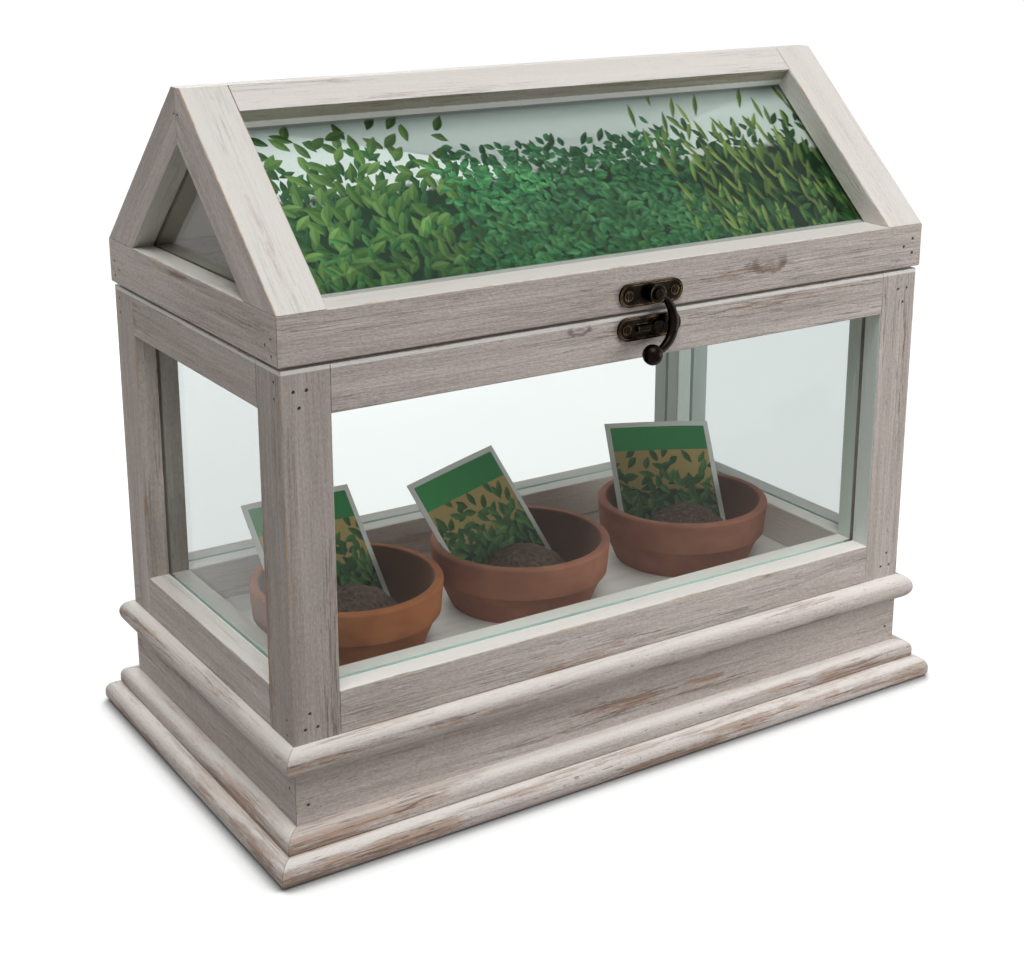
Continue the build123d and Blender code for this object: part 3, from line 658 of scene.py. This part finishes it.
pinSteel = {
    "dark": (0.045, 0.03, 0.022, 1.0),
    "rust": (0.13, 0.075, 0.045, 1.0),
    "cloud": ((900.0, 900.0, 900.0), 4.0, 0.6),
    "rustSpan": (0.35, 0.65),
    "roughSpan": (0.3, 0.7, 0.5, 0.75),
    "depth": 0.0002,
    "pins": ("case_pins", "lid_pins"),
}
rustyPin, tree, shader = newMaterial("rusty_pin")
cloudy = noise(tree, ownPlace(tree), *pinSteel["cloud"])
colour = blendColour(tree, slide(tree, cloudy, *pinSteel["rustSpan"]), pinSteel["dark"], pinSteel["rust"])
finishSurface(tree, shader, colour, slide(tree, cloudy, *pinSteel["roughSpan"]), cloudy, pinSteel["depth"])
for pins in pinSteel["pins"]:
    dress(pins, rustyPin)
print("metal dressed")

leafShade = {"noise": ((75.0, 75.0, 0.0), 3.0, 0.6), "span": (0.36, 0.64, 0.4, 1.3)}


def leafLayer(
    seed, size, slim, turn, spread, left, right, top, dark, light, share=1.0, sway=0.03, ripple=28.0,
):
    return {
        "Seed": seed, "Size": size, "Slim": slim, "Turn": turn, "Spread": spread,
        "left": left, "right": right, "top": top, "share": share, "sway": sway, "ripple": ripple,
        "dark": dark + (1.0,), "light": light + (1.0,),
    }


# one layer of printed leaves over a colour; a leaf shows where its middle is under the layer's top
def layLeaves(tree, flat, colour, layer):
    feeds = {"Vector": flat}
    for socket in ("Seed", "Size", "Slim", "Turn", "Spread"):
        feeds[socket] = layer[socket]
    leaf = placeGroup(tree, "leafScatter", feeds)
    middle = split(tree, leaf["Centre"])
    wave = noise(tree, leaf["Centre"], (layer["ripple"], 0.0, 0.0), 2.0, 0.5)
    top = maths(tree, "MULTIPLY_ADD", maths(tree, "SUBTRACT", wave, 0.5), layer["sway"], layer["top"])
    shown = maths(tree, "LESS_THAN", middle[1], top)
    shown = maths(tree, "MULTIPLY", shown, maths(tree, "GREATER_THAN", middle[0], layer["left"]))
    shown = maths(tree, "MULTIPLY", shown, maths(tree, "LESS_THAN", middle[0], layer["right"]))
    shown = maths(tree, "MULTIPLY", shown, maths(tree, "LESS_THAN", leaf["Chance"], layer["share"]))
    shade = slide(tree, noise(tree, leaf["Centre"], *leafShade["noise"]), *leafShade["span"])
    tint = blendColour(tree, maths(tree, "MULTIPLY", leaf["Tone"], shade), layer["dark"], layer["light"])
    return blendColour(tree, maths(tree, "MULTIPLY", leaf["Mask"], shown), colour, tint)


# printed cards behind the roof panes: a plain hedge of mixed leaves under a pale sky
leafCard = {
    "eave": 0.2097,
    "skyLow": (0.86, 0.93, 0.88, 1.0),
    "skyHigh": (0.74, 0.86, 0.83, 1.0),
    "skySpan": (0.03, 0.09),
    "margin": (0.88, 0.89, 0.87, 1.0),
    "marginFrom": 0.0765,
    "reverse": (0.62, 0.60, 0.55, 1.0),
    "shade": (0.008, 0.035, 0.014, 1.0),
    "shadeFoot": 0.026,
    "shadeRise": 0.035,
    "shadeNoise": ((60.0, 60.0, 0.0), 5.0, 0.6),
    "shadeSpan": (-0.002, 0.003),
    "fibre": ((1800.0, 1800.0, 1800.0), 2.0, 0.5),
    "roughSpan": (0.3, 0.7, 0.32, 0.45),
    "depth": 0.00004,
    "sheen": 0.2,
    "layers": [  # seed, size, slimness, turn, spread, left, right, top, dark, light, share, sway
        (3.1, 0.0085, 0.34, 1.57, 1.8, -0.14, 0.14, 0.060, (0.010, 0.05, 0.018), (0.05, 0.17, 0.06), 0.9),
        (11.7, 0.0075, 0.38, 1.4, 2.4, -0.14, 0.14, 0.057, (0.008, 0.042, 0.014), (0.04, 0.16, 0.045), 0.9),
        (17.3, 0.0080, 0.36, 1.7, 2.2, -0.14, 0.14, 0.054, (0.010, 0.05, 0.018), (0.06, 0.20, 0.06)),
        (23.9, 0.0095, 0.40, 1.8, 2.0, -0.14, -0.045, 0.075, (0.02, 0.07, 0.018), (0.17, 0.32, 0.08), 0.75),
        (31.2, 0.0100, 0.42, 1.3, 2.2, -0.14, -0.05, 0.067, (0.02, 0.08, 0.018), (0.15, 0.30, 0.07), 0.8),
        (36.6, 0.0090, 0.42, 1.6, 2.4, -0.14, -0.055, 0.060, (0.02, 0.09, 0.02), (0.20, 0.37, 0.10), 0.8),
        (41.9, 0.0095, 0.40, 1.2, 2.6, -0.14, -0.06, 0.050, (0.02, 0.09, 0.02), (0.22, 0.40, 0.11), 0.8),
        (47.5, 0.0050, 0.60, 1.2, 4.0, -0.055, 0.060, 0.060, (0.010, 0.075, 0.03), (0.08, 0.34, 0.12)),
        (52.3, 0.0046, 0.62, 2.0, 4.5, -0.06, 0.06, 0.054, (0.010, 0.075, 0.03), (0.10, 0.38, 0.14)),
        (58.9, 0.0048, 0.60, 1.0, 4.5, -0.05, 0.055, 0.047, (0.012, 0.09, 0.035), (0.14, 0.44, 0.16), 0.85),
        (68.8, 0.0130, 0.17, 1.5, 0.9, 0.045, 0.14, 0.076, (0.05, 0.13, 0.025), (0.36, 0.52, 0.12), 0.9),
        (74.4, 0.0120, 0.18, 1.7, 0.9, 0.05, 0.14, 0.070, (0.06, 0.15, 0.03), (0.44, 0.58, 0.15), 0.9),
        (79.5, 0.0125, 0.17, 1.4, 1.0, 0.048, 0.14, 0.062, (0.05, 0.13, 0.025), (0.34, 0.50, 0.12), 0.95),
        (82.2, 0.0115, 0.18, 1.6, 1.0, 0.048, 0.14, 0.052, (0.06, 0.15, 0.03), (0.42, 0.56, 0.15), 0.95),
        (85.6, 0.007, 0.38, 1.5, 2.6, -0.14, 0.14, 0.024, (0.012, 0.07, 0.02), (0.1, 0.3, 0.08), 0.8, 0.02),
    ],
}
printCard, tree, shader = newMaterial("leaf_print_card")
place = split(tree, coords(tree)["Object"])
rise = maths(tree, "SUBTRACT", place[2], leafCard["eave"])
rise = maths(tree, "MULTIPLY", rise, 1.0 / math.sin(roofPitch))
flat = put(tree, "CombineXYZ", {0: place[0], 1: rise}).outputs[0]
colour = blendColour(tree, slide(tree, rise, *leafCard["skySpan"]), leafCard["skyLow"], leafCard["skyHigh"])
hedge = noise(tree, flat, *leafCard["shadeNoise"])
hedge = maths(tree, "MULTIPLY_ADD", hedge, leafCard["shadeRise"], leafCard["shadeFoot"])
hedge = slide(tree, maths(tree, "SUBTRACT", hedge, rise), *leafCard["shadeSpan"])
colour = blendColour(tree, hedge, colour, leafCard["shade"])
for layer in leafCard["layers"]:
    colour = layLeaves(tree, flat, colour, leafLayer(*layer))
margin = maths(tree, "GREATER_THAN", rise, leafCard["marginFrom"])
colour = blendColour(tree, margin, colour, leafCard["margin"])
colour = blendColour(tree, maths(tree, "GREATER_THAN", upright(tree), 0.0), leafCard["reverse"], colour)
fibre = noise(tree, ownPlace(tree), *leafCard["fibre"])
roughness = slide(tree, fibre, *leafCard["roughSpan"])
finishSurface(tree, shader, colour, roughness, fibre, leafCard["depth"], leafCard["sheen"])
dress("print_cards", printCard)
print("cards printed")

# terracotta pots, darker on their inner faces
terracotta = {
    "pots": {
        "left": {"body": (0.46, 0.165, 0.055, 1.0), "dark": (0.32, 0.10, 0.035, 1.0)},
        "middle": {"body": (0.42, 0.175, 0.105, 1.0), "dark": (0.30, 0.115, 0.07, 1.0)},
        "right": {"body": (0.41, 0.17, 0.105, 1.0), "dark": (0.29, 0.11, 0.07, 1.0)},
    },
    "bloom": (0.52, 0.30, 0.20, 1.0),
    "innerDark": (0.10, 0.045, 0.026, 1.0),
    "sand": ((2600.0, 2600.0, 2600.0), 3.0, 0.7),
    "cloud": ((45.0, 45.0, 70.0), 5.0, 0.6),
    "darkSpan": (0.3, 0.7),
    "bloomSpan": (0.52, 0.8, 0.0, 0.3),
    "innerDarkSpan": (-0.008, -0.024, 0.0, 0.72),
    "roughSpan": (0.3, 0.7, 0.82, 0.95),
    "depth": 0.0001,
    "sheen": 0.2,
}
for place, look in terracotta["pots"].items():
    clay, tree, shader = newMaterial("terracotta_" + place)
    sand = noise(tree, ownPlace(tree), *terracotta["sand"])
    cloud = noise(tree, ownPlace(tree), *terracotta["cloud"])
    colour = blendColour(tree, slide(tree, cloud, *terracotta["darkSpan"]), look["body"], look["dark"])
    colour = blendColour(tree, slide(tree, sand, *terracotta["bloomSpan"]), colour, terracotta["bloom"])
    low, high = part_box("pot_" + place)
    axis = ((low[0] + high[0]) / 2, (low[1] + high[1]) / 2, 0.0)
    where = coords(tree)
    outward = vectorMaths(tree, "SUBTRACT", where["Object"], axis)
    outward = vectorMaths(tree, "MULTIPLY", outward, (1.0, 1.0, 0.0))
    # darker on the inner faces
    innerDark = slide(tree, facing(tree, where["Normal"], outward), *terracotta["innerDarkSpan"])
    colour = blendColour(tree, innerDark, colour, terracotta["innerDark"])
    roughness = slide(tree, sand, *terracotta["roughSpan"])
    finishSurface(tree, shader, colour, roughness, sand, terracotta["depth"], terracotta["sheen"])
    dress("pot_" + place, clay)
print("pots dressed")

# where the soil is heaped and the foot of each packet stands
planting = {
    "left": {
        "soil": (-0.0900, -0.0110), "foot": (-0.0915, -0.0040),
        "turn": 11.0, "lean": 38.0, "roll": -4.0, "seed": 5.0,
    },
    "middle": {
        "soil": (-0.0065, -0.0110), "foot": (-0.0085, -0.0040),
        "turn": 8.0, "lean": 37.0, "roll": 8.5, "seed": 37.0,
    },
    "right": {
        "soil": (0.0840, -0.0090), "foot": (0.0830, -0.0020),
        "turn": -15.0, "lean": 40.0, "roll": -4.0, "seed": 61.0,
    },
}

# crumbly soil mounds
soil = {
    "dark": (0.075, 0.05, 0.036, 1.0),
    "brown": (0.26, 0.175, 0.125, 1.0),
    "crumbs": ((520.0, 520.0, 520.0), 6.0, 0.7),
    "fibres": ((150.0, 1600.0, 1600.0), 3.0, 0.6),
    "fibreTurn": (0.5, 0.4, 0.8),
    "shares": {"crumbs": 0.6, "fibres": 0.4},
    "brownSpan": (0.38, 0.66),
    "roughSpan": (0.3, 0.7, 0.85, 1.0),
    "depth": 0.0008,
    "sheen": 0.2,
    "radius": 0.0248,
    "squeeze": 0.96,
    "top": 0.0742,
    "base": 0.053,
    "smoothness": 6,
    "grit": {"lumps": {"size": 0.006, "strength": 0.0022}, "crumbs": {"size": 0.0016, "strength": 0.0011}},
    "gritLayers": 3,
    "gritLevel": 0.75,
}
soilMix, tree, shader = newMaterial("coir_soil")
layers = {
    "crumbs": noise(tree, ownPlace(tree), *soil["crumbs"]),
    "fibres": noise(tree, ownPlace(tree, Rotation=soil["fibreTurn"]), *soil["fibres"]),
}
mixed = weighed(tree, layers, soil["shares"])
colour = blendColour(tree, slide(tree, mixed, *soil["brownSpan"]), soil["dark"], soil["brown"])
roughness = slide(tree, layers["crumbs"], *soil["roughSpan"])
finishSurface(tree, shader, colour, roughness, mixed, soil["depth"], soil["sheen"])

for kind, look in soil["grit"].items():
    grit = bpy.data.textures.new("soil_" + kind, "CLOUDS")
    grit.noise_scale = look["size"]
    grit.noise_depth = soil["gritLayers"]

for place, spot in planting.items():
    bpy.ops.object.select_all(action="DESELECT")
    bpy.ops.mesh.primitive_ico_sphere_add(
        subdivisions=soil["smoothness"],
        radius=soil["radius"],
        location=(spot["soil"][0], spot["soil"][1], soil["top"] - soil["radius"]),
    )
    mound = bpy.context.object
    mound.name = "soil_mound_" + place
    mound.scale = (soil["squeeze"], soil["squeeze"], 1.0)
    applyAll(mound)
    bpy.ops.object.mode_set(mode="EDIT")
    bpy.ops.mesh.select_all(action="SELECT")
    bpy.ops.mesh.bisect(
        plane_co=(0.0, 0.0, soil["base"]), plane_no=(0.0, 0.0, 1.0), use_fill=True, clear_inner=True,
    )
    bpy.ops.object.mode_set(mode="OBJECT")
    for kind, look in soil["grit"].items():
        rough = mound.modifiers.new(kind, "DISPLACE")
        rough.texture = bpy.data.textures["soil_" + kind]
        rough.texture_coords = "LOCAL"
        rough.mid_level = soil["gritLevel"]
        rough.strength = look["strength"]
    applyAll(mound)
    bpy.ops.object.shade_smooth()
    mound.data.materials.append(soilMix)
    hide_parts("soil_" + place)
    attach(mound, place + "_pot")
print("soil heaped")

# seed packets: a curled sheet with a plain band over printed leaves
packet = {
    "width": 0.052,
    "height": 0.054,
    "thickness": 0.00045,
    "cuts": 16,
    "curl": 9.0,
    "smoothUnder": 40.0,
    "foot": 0.060,
    "paper": (0.84, 0.84, 0.80, 1.0),
    "band": (0.04, 0.34, 0.09, 1.0),
    "bandDark": (0.025, 0.24, 0.065, 1.0),
    "bandFrom": 0.0395,
    "ground": (0.50, 0.37, 0.13, 1.0),
    "groundLow": (0.30, 0.27, 0.12, 1.0),
    "groundSpan": (0.0, 0.04),
    "border": 0.0024,
    "clump": (0.010, 0.035, 0.010, 1.0),
    "clumpTop": 0.012,
    "clumpRise": 0.016,
    "clumpNoise": ((160.0, 160.0, 0.0), 3.0, 0.6),
    "clumpSpan": (-0.001, 0.002),
    "leafSeedStep": 9.0,
    "leafTurn": 1.5,
    "leafSpread": 2.8,
    "leafShare": 0.9,
    "leafSway": 0.012,
    "leafRipple": 60.0,
    "leaves": [  # size, slimness, top, dark, light
        (0.0080, 0.40, 0.040, (0.014, 0.06, 0.014), (0.08, 0.21, 0.055)),
        (0.0072, 0.44, 0.036, (0.012, 0.05, 0.014), (0.07, 0.20, 0.045)),
        (0.0085, 0.38, 0.033, (0.014, 0.07, 0.018), (0.14, 0.30, 0.08)),
        (0.0070, 0.42, 0.029, (0.012, 0.06, 0.018), (0.11, 0.26, 0.07)),
        (0.0065, 0.46, 0.024, (0.014, 0.07, 0.02), (0.16, 0.34, 0.09)),
        (0.0070, 0.42, 0.016, (0.012, 0.06, 0.018), (0.11, 0.27, 0.07)),
    ],
    "fibre": ((1500.0, 1500.0, 1500.0), 2.0, 0.5),
    "roughSpan": (0.3, 0.7, 0.38, 0.52),
    "depth": 0.00005,
    "sheen": 0.15,
}


# the print on the face of a packet, bare paper at its border and back
def packetPrint(name, seed, front):
    art, tree, shader = newMaterial(name)
    flat = vectorMaths(tree, "MULTIPLY", coords(tree)["UV"], (packet["width"], packet["height"], 0.0))
    across, up = split(tree, flat)[:2]
    ground = slide(tree, up, *packet["groundSpan"])
    colour = blendColour(tree, ground, packet["groundLow"], packet["ground"])
    clump = noise(tree, flat, *packet["clumpNoise"])
    clump = maths(tree, "MULTIPLY_ADD", clump, packet["clumpRise"], packet["clumpTop"])
    clump = slide(tree, maths(tree, "SUBTRACT", clump, up), *packet["clumpSpan"])
    colour = blendColour(tree, clump, colour, packet["clump"])
    for step, (size, slim, top, dark, light) in enumerate(packet["leaves"]):
        layer = leafLayer(
            seed + packet["leafSeedStep"] * step, size, slim, packet["leafTurn"], packet["leafSpread"],
            0.0, packet["width"], top, dark, light,
            packet["leafShare"], packet["leafSway"], packet["leafRipple"],
        )
        colour = layLeaves(tree, flat, colour, layer)
    band = blendColour(tree, slide(tree, across, 0.0, packet["width"]), packet["band"], packet["bandDark"])
    colour = blendColour(tree, maths(tree, "GREATER_THAN", up, packet["bandFrom"]), colour, band)
    inX = maths(tree, "MINIMUM", across, maths(tree, "SUBTRACT", packet["width"], across))
    inY = maths(tree, "MINIMUM", up, maths(tree, "SUBTRACT", packet["height"], up))
    inside = maths(tree, "GREATER_THAN", maths(tree, "MINIMUM", inX, inY), packet["border"])
    ahead = maths(tree, "GREATER_THAN", facing(tree, coords(tree)["Normal"], front), 0.0)
    colour = blendColour(tree, maths(tree, "MULTIPLY", inside, ahead), packet["paper"], colour)
    fibre = noise(tree, ownPlace(tree), *packet["fibre"])
    roughness = slide(tree, fibre, *packet["roughSpan"])
    finishSurface(tree, shader, colour, roughness, fibre, packet["depth"], packet["sheen"])
    return art


for place, spot in planting.items():
    bpy.ops.object.select_all(action="DESELECT")
    bpy.ops.mesh.primitive_grid_add(x_subdivisions=packet["cuts"], y_subdivisions=packet["cuts"], size=1.0)
    sachet = bpy.context.object
    sachet.name = "seed_packet_" + place
    sachet.scale = (packet["width"], packet["height"], 1.0)
    sachet.rotation_euler = (quarter, 0.0, 0.0)
    applyAll(sachet)
    curl = sachet.modifiers.new("curl", "SIMPLE_DEFORM")
    curl.deform_method = "BEND"
    curl.deform_axis = "Z"
    curl.angle = math.radians(packet["curl"])
    paper = sachet.modifiers.new("paper", "SOLIDIFY")
    paper.thickness = packet["thickness"]
    paper.offset = 0.0
    applyAll(sachet)
    lean = Matrix.Rotation(math.radians(spot["turn"]), 4, "Z")
    lean = lean @ Matrix.Rotation(math.radians(-spot["lean"]), 4, "X")
    lean = lean @ Matrix.Rotation(math.radians(-spot["roll"]), 4, "Y")
    foot = Matrix.Translation((spot["foot"][0], spot["foot"][1], packet["foot"]))
    sachet.matrix_world = foot @ lean @ Matrix.Translation((0.0, 0.0, packet["height"] / 2))
    applyAll(sachet)
    bpy.ops.object.shade_smooth_by_angle(angle=math.radians(packet["smoothUnder"]))
    front = tuple(lean.to_3x3() @ Vector((0.0, -1.0, 0.0)))
    sachet.data.materials.append(packetPrint("packet_print_" + place, spot["seed"], front))
    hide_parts("packet_" + place)
    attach(sachet, place + "_pot")
print("packets printed")

# floor, light and camera
studio = {
    "floorSize": 60.0,
    "paper": 0.36,
    "glow": 0.72,
    "paintedShadowReach": 0.02,
    "paintedShadowSpan": (0.57, 0.88),
    "paintedShadowSamples": 12,
    "sky": 0.15,
    "sun": 0.76 * math.pi,
    "sunFrom": (-0.20, -0.36, 1.0),
    "sunSoft": 0.75,
    "sunPlace": (0.2, -0.3, 1.5),
    "lamps": {
        "side_lamp": {"power": 2.4, "size": 0.4, "place": (0.64, -0.52, 0.22), "aim": (0.06, 0.0, 0.10)},
        "back_lamp": {"power": 3.2, "size": 0.6, "place": (0.10, 0.75, 0.50), "aim": (0.0, 0.0, 0.10)},
    },
}


# rays that see the floor and the sky white
def seenRays(tree):
    path = put(tree, "LightPath").outputs
    seen = maths(tree, "MAXIMUM", path["Is Camera Ray"], path["Is Glossy Ray"])
    return maths(tree, "MAXIMUM", seen, path["Is Transmission Ray"])


bpy.ops.object.select_all(action="DESELECT")
bpy.ops.mesh.primitive_plane_add(size=studio["floorSize"], location=(0.0, 0.0, 0.0))
studioFloor = bpy.context.object
studioFloor.name = "studio_floor"
sweep, tree, shader = newMaterial("studio_paper")
shader.inputs["Base Color"].default_value = (studio["paper"], studio["paper"], studio["paper"], 1.0)
shader.inputs["Roughness"].default_value = 1.0
shader.inputs["Specular IOR Level"].default_value = 0.0
# painted contact shadow: the floor's glow fades where the ambient occlusion node finds the object near
feeds = {"Distance": studio["paintedShadowReach"]}
bare = put(tree, "AmbientOcclusion", feeds, samples=studio["paintedShadowSamples"]).outputs["AO"]
glow = slide(tree, bare, *studio["paintedShadowSpan"], 0.0, studio["glow"])
light = put(tree, "Emission", {"Strength": maths(tree, "MULTIPLY", glow, seenRays(tree))})
both = put(tree, "AddShader", {0: shader.outputs[0], 1: light.outputs[0]})
showShader(tree, both.outputs[0])
studioFloor.data.materials.append(sweep)

world = bpy.data.worlds.new("studio")
scene.world = world
world.use_nodes = True
tree = world.node_tree
tree.nodes.clear()
strength = slide(tree, seenRays(tree), 0.0, 1.0, studio["sky"], 1.0)
sky = put(tree, "Background", {"Color": (1.0, 1.0, 1.0, 1.0), "Strength": strength})
put(tree, "OutputWorld", {"Surface": sky.outputs[0]})

bpy.ops.object.light_add(type="SUN", location=studio["sunPlace"])
sun = bpy.context.object
sun.name = "soft_sun"
sun.data.energy = studio["sun"]
sun.data.angle = studio["sunSoft"]
sun.rotation_euler = Vector(studio["sunFrom"]).to_track_quat("Z", "Y").to_euler()

for name, look in studio["lamps"].items():
    bpy.ops.object.light_add(type="AREA", location=look["place"])
    lamp = bpy.context.object
    lamp.name = name
    lamp.data.energy = look["power"]
    lamp.data.size = look["size"]
    lampTurn = Vector(look["place"]) - Vector(look["aim"])
    lamp.rotation_euler = lampTurn.to_track_quat("Z", "Y").to_euler()

lens = {
    "place": (-0.3870, -0.5923, 0.3504),
    "pitch": -16.07,
    "yaw": -32.77,
    "focal": 60.57,
    "sensor": 36.0,
    "shift": -0.1,
    "near": 0.01,
    "far": 200.0,
}
bpy.ops.object.camera_add(location=lens["place"])
camera = bpy.context.object
camera.name = "studio_camera"
camera.rotation_euler = (quarter + math.radians(lens["pitch"]), 0.0, math.radians(lens["yaw"]))
camera.data.sensor_width = lens["sensor"]
camera.data.lens = lens["focal"]
camera.data.shift_y = lens["shift"]
camera.data.clip_start = lens["near"]
camera.data.clip_end = lens["far"]
scene.camera = camera
print("studio set")
